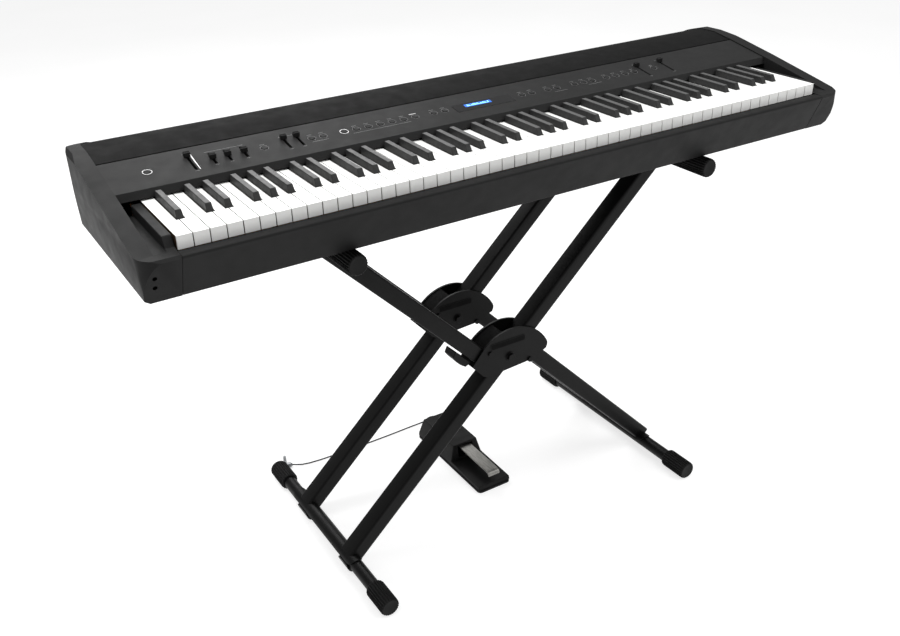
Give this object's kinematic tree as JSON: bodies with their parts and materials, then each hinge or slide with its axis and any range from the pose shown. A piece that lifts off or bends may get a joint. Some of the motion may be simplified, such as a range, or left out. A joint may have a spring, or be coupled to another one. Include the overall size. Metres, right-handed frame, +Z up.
{
  "type": "digital piano on stand",
  "caption": "Long stage keyboard with black and white keys, sloping control panel and display, on a folding double-braced X stand with a floor pedal on a cord.",
  "frame": {"origin": "on the floor, under the middle of the piano and close to the middle of its stand", "axes": "+X towards the treble end, -Y towards the player, +Z up"},
  "size_m": [1.34, 0.5389, 0.8188],
  "materials": {
    "case_satin": "satin charcoal",
    "panel_satin": "satin dark grey",
    "cover_dark": "fine-grained black",
    "key_white": "glossy white",
    "key_black": "matte dark grey",
    "stand_black": "satin black",
    "rubber": "ribbed, matte",
    "steel": "bright zinc",
    "bed_wood": "unfinished",
    "display": "gloss black",
    "board": "green",
    "speaker_paper": "matte black",
    "pedal_metal": "silver grey",
    "cord_black": "satin black"
  },
  "bodies": {
    "pedal": {"pedal_housing": "case_satin", "pedal_sole": "rubber", "strain_relief": "rubber", "cord": "cord_black", "cord_coil": "cord_black", "plug": "steel"},
    "lever": {"pedal_lever": "pedal_metal"},
    "frame_a": {"arm_a_front": "stand_black", "arm_a_rear": "stand_black", "foot_bar_a": "stand_black", "top_bar_a": "stand_black", "foot_cap_a_front": "rubber", "foot_cap_a_rear": "rubber", "top_sleeve_a_front": "rubber", "top_sleeve_a_rear": "rubber"},
    "frame_b": {"arm_b_front_upper": "stand_black", "arm_b_front_lower": "stand_black", "arm_b_rear_upper": "stand_black", "arm_b_rear_lower": "stand_black", "bracket_front_outer_plate": "stand_black", "bracket_front_inner_plate": "stand_black", "bracket_rear_outer_plate": "stand_black", "bracket_rear_inner_plate": "stand_black", "pivot_bolt_front": "steel", "pivot_bolt_rear": "steel", "foot_bar_b": "stand_black", "top_bar_b": "stand_black", "foot_cap_b_front": "rubber", "foot_cap_b_rear": "rubber", "top_sleeve_b_front": "rubber", "top_sleeve_b_rear": "rubber"},
    "lock": {"lock_lever": "stand_black"},
    "piano": {"bottom_case": "case_satin", "left_end_block": "case_satin", "right_end_block": "case_satin", "front_rail": "case_satin", "control_panel": "panel_satin", "speaker_cover": "cover_dark", "display_lens": "display", "key_bed": "bed_wood", "main_board": "board", "speaker_left": "speaker_paper", "speaker_right": "speaker_paper"},
    "volume_slider": {"volume_slider": "case_satin"},
    "tone_slider_1": {"tone_slider_1": "case_satin"},
    "tone_slider_2": {"tone_slider_2": "case_satin"},
    "tone_slider_3": {"tone_slider_3": "case_satin"},
    "part_slider_1": {"part_slider_1": "case_satin"},
    "part_slider_2": {"part_slider_2": "case_satin"},
    "mic_slider": {"mic_slider": "case_satin"},
    "level_slider": {"level_slider": "case_satin"},
    "buttons_left": {"buttons_left": "panel_satin"},
    "buttons_right": {"buttons_right": "panel_satin"},
    "keys_low": {"keys_low": "key_white"},
    "key_c4": {"key_c4": "key_white"},
    "key_c_sharp_4": {"key_c_sharp_4": "key_black"},
    "key_d4": {"key_d4": "key_white"},
    "key_d_sharp_4": {"key_d_sharp_4": "key_black"},
    "key_e4": {"key_e4": "key_white"},
    "keys_high": {"keys_high": "key_white"}
  },
  "joints": [
    {"name": "stand_fold", "type": "hinge", "parent": "pedal", "child": "frame_a", "pos_m": [-0.3585, 0, 0.018], "axis": [0, -1, 0], "range_deg": [0, 21]},
    {"name": "cross_pivot", "type": "hinge", "parent": "frame_a", "child": "frame_b", "pos_m": [-0.007, 0, 0.344], "axis": [0, -1, 0], "range_deg": [-42, 0]},
    {"name": "piano_level", "type": "hinge", "parent": "frame_a", "child": "piano", "pos_m": [0.3445, 0, 0.67], "axis": [0, -1, 0], "range_deg": [-21, 0]},
    {"name": "pedal_press", "type": "hinge", "parent": "pedal", "child": "lever", "pos_m": [-0.004, 0.15, 0.039], "axis": [1, 0, 0], "range_deg": [0, 4.4], "stiffness_Nm_per_rad": 8, "springref_deg": -20.05},
    {"name": "volume_slider_slide", "type": "slide", "parent": "piano", "child": "volume_slider", "axis": [0, 0.9806, 0.1961], "range_m": [-0.0398, 0]},
    {"name": "tone_slider_1_slide", "type": "slide", "parent": "piano", "child": "tone_slider_1", "axis": [0, 0.9806, 0.1961], "range_m": [-0.0139, 0.0139]},
    {"name": "tone_slider_2_slide", "type": "slide", "parent": "piano", "child": "tone_slider_2", "axis": [0, 0.9806, 0.1961], "range_m": [-0.0139, 0.0139]},
    {"name": "tone_slider_3_slide", "type": "slide", "parent": "piano", "child": "tone_slider_3", "axis": [0, 0.9806, 0.1961], "range_m": [-0.0139, 0.0139]},
    {"name": "part_slider_1_slide", "type": "slide", "parent": "piano", "child": "part_slider_1", "axis": [0, 0.9806, 0.1961], "range_m": [-0.0278, 0]},
    {"name": "part_slider_2_slide", "type": "slide", "parent": "piano", "child": "part_slider_2", "axis": [0, 0.9806, 0.1961], "range_m": [-0.0278, 0]},
    {"name": "mic_slider_slide", "type": "slide", "parent": "piano", "child": "mic_slider", "axis": [0, 0.9806, 0.1961], "range_m": [-0.0398, 0]},
    {"name": "level_slider_slide", "type": "slide", "parent": "piano", "child": "level_slider", "axis": [0, 0.9806, 0.1961], "range_m": [-0.0398, 0]},
    {"name": "buttons_left_press", "type": "slide", "parent": "piano", "child": "buttons_left", "axis": [0, 0.1961, -0.9806], "range_m": [0, 0.0012], "stiffness_N_per_m": 400, "springref_m": -0.003},
    {"name": "buttons_right_press", "type": "slide", "parent": "piano", "child": "buttons_right", "axis": [0, 0.1961, -0.9806], "range_m": [0, 0.0012], "stiffness_N_per_m": 400, "springref_m": -0.003},
    {"name": "keys_low_press", "type": "hinge", "parent": "piano", "child": "keys_low", "pos_m": [0, 0.028, 0.7658], "axis": [1, 0, 0], "range_deg": [0, 2.4], "stiffness_Nm_per_rad": 20, "springref_deg": -17.19},
    {"name": "key_c4_press", "type": "hinge", "parent": "piano", "child": "key_c4", "pos_m": [0, 0.028, 0.7658], "axis": [1, 0, 0], "range_deg": [0, 2.4], "stiffness_Nm_per_rad": 1, "springref_deg": -17.19},
    {"name": "key_c_sharp_4_press", "type": "hinge", "parent": "piano", "child": "key_c_sharp_4", "pos_m": [0, 0.028, 0.7658], "axis": [1, 0, 0], "range_deg": [0, 2.4], "stiffness_Nm_per_rad": 1, "springref_deg": -17.19},
    {"name": "key_d4_press", "type": "hinge", "parent": "piano", "child": "key_d4", "pos_m": [0, 0.028, 0.7658], "axis": [1, 0, 0], "range_deg": [0, 2.4], "stiffness_Nm_per_rad": 1, "springref_deg": -17.19},
    {"name": "key_d_sharp_4_press", "type": "hinge", "parent": "piano", "child": "key_d_sharp_4", "pos_m": [0, 0.028, 0.7658], "axis": [1, 0, 0], "range_deg": [0, 2.4], "stiffness_Nm_per_rad": 1, "springref_deg": -17.19},
    {"name": "key_e4_press", "type": "hinge", "parent": "piano", "child": "key_e4", "pos_m": [0, 0.028, 0.7658], "axis": [1, 0, 0], "range_deg": [0, 2.4], "stiffness_Nm_per_rad": 1, "springref_deg": -17.19},
    {"name": "keys_high_press", "type": "hinge", "parent": "piano", "child": "keys_high", "pos_m": [0, 0.028, 0.7658], "axis": [1, 0, 0], "range_deg": [0, 2.4], "stiffness_Nm_per_rad": 20, "springref_deg": -17.19},
    {"name": "lock_release", "type": "hinge", "parent": "frame_b", "child": "lock", "pos_m": [-0.1211, -0.0855, 0.3814], "axis": [0, -1, 0], "range_deg": [-25, 0], "stiffness_Nm_per_rad": 1.5, "springref_deg": 20.05}
  ],
  "couplings": [
    {"joint": "cross_pivot", "follows": "stand_fold", "ratio": -2},
    {"joint": "piano_level", "follows": "stand_fold", "ratio": -1}
  ]
}
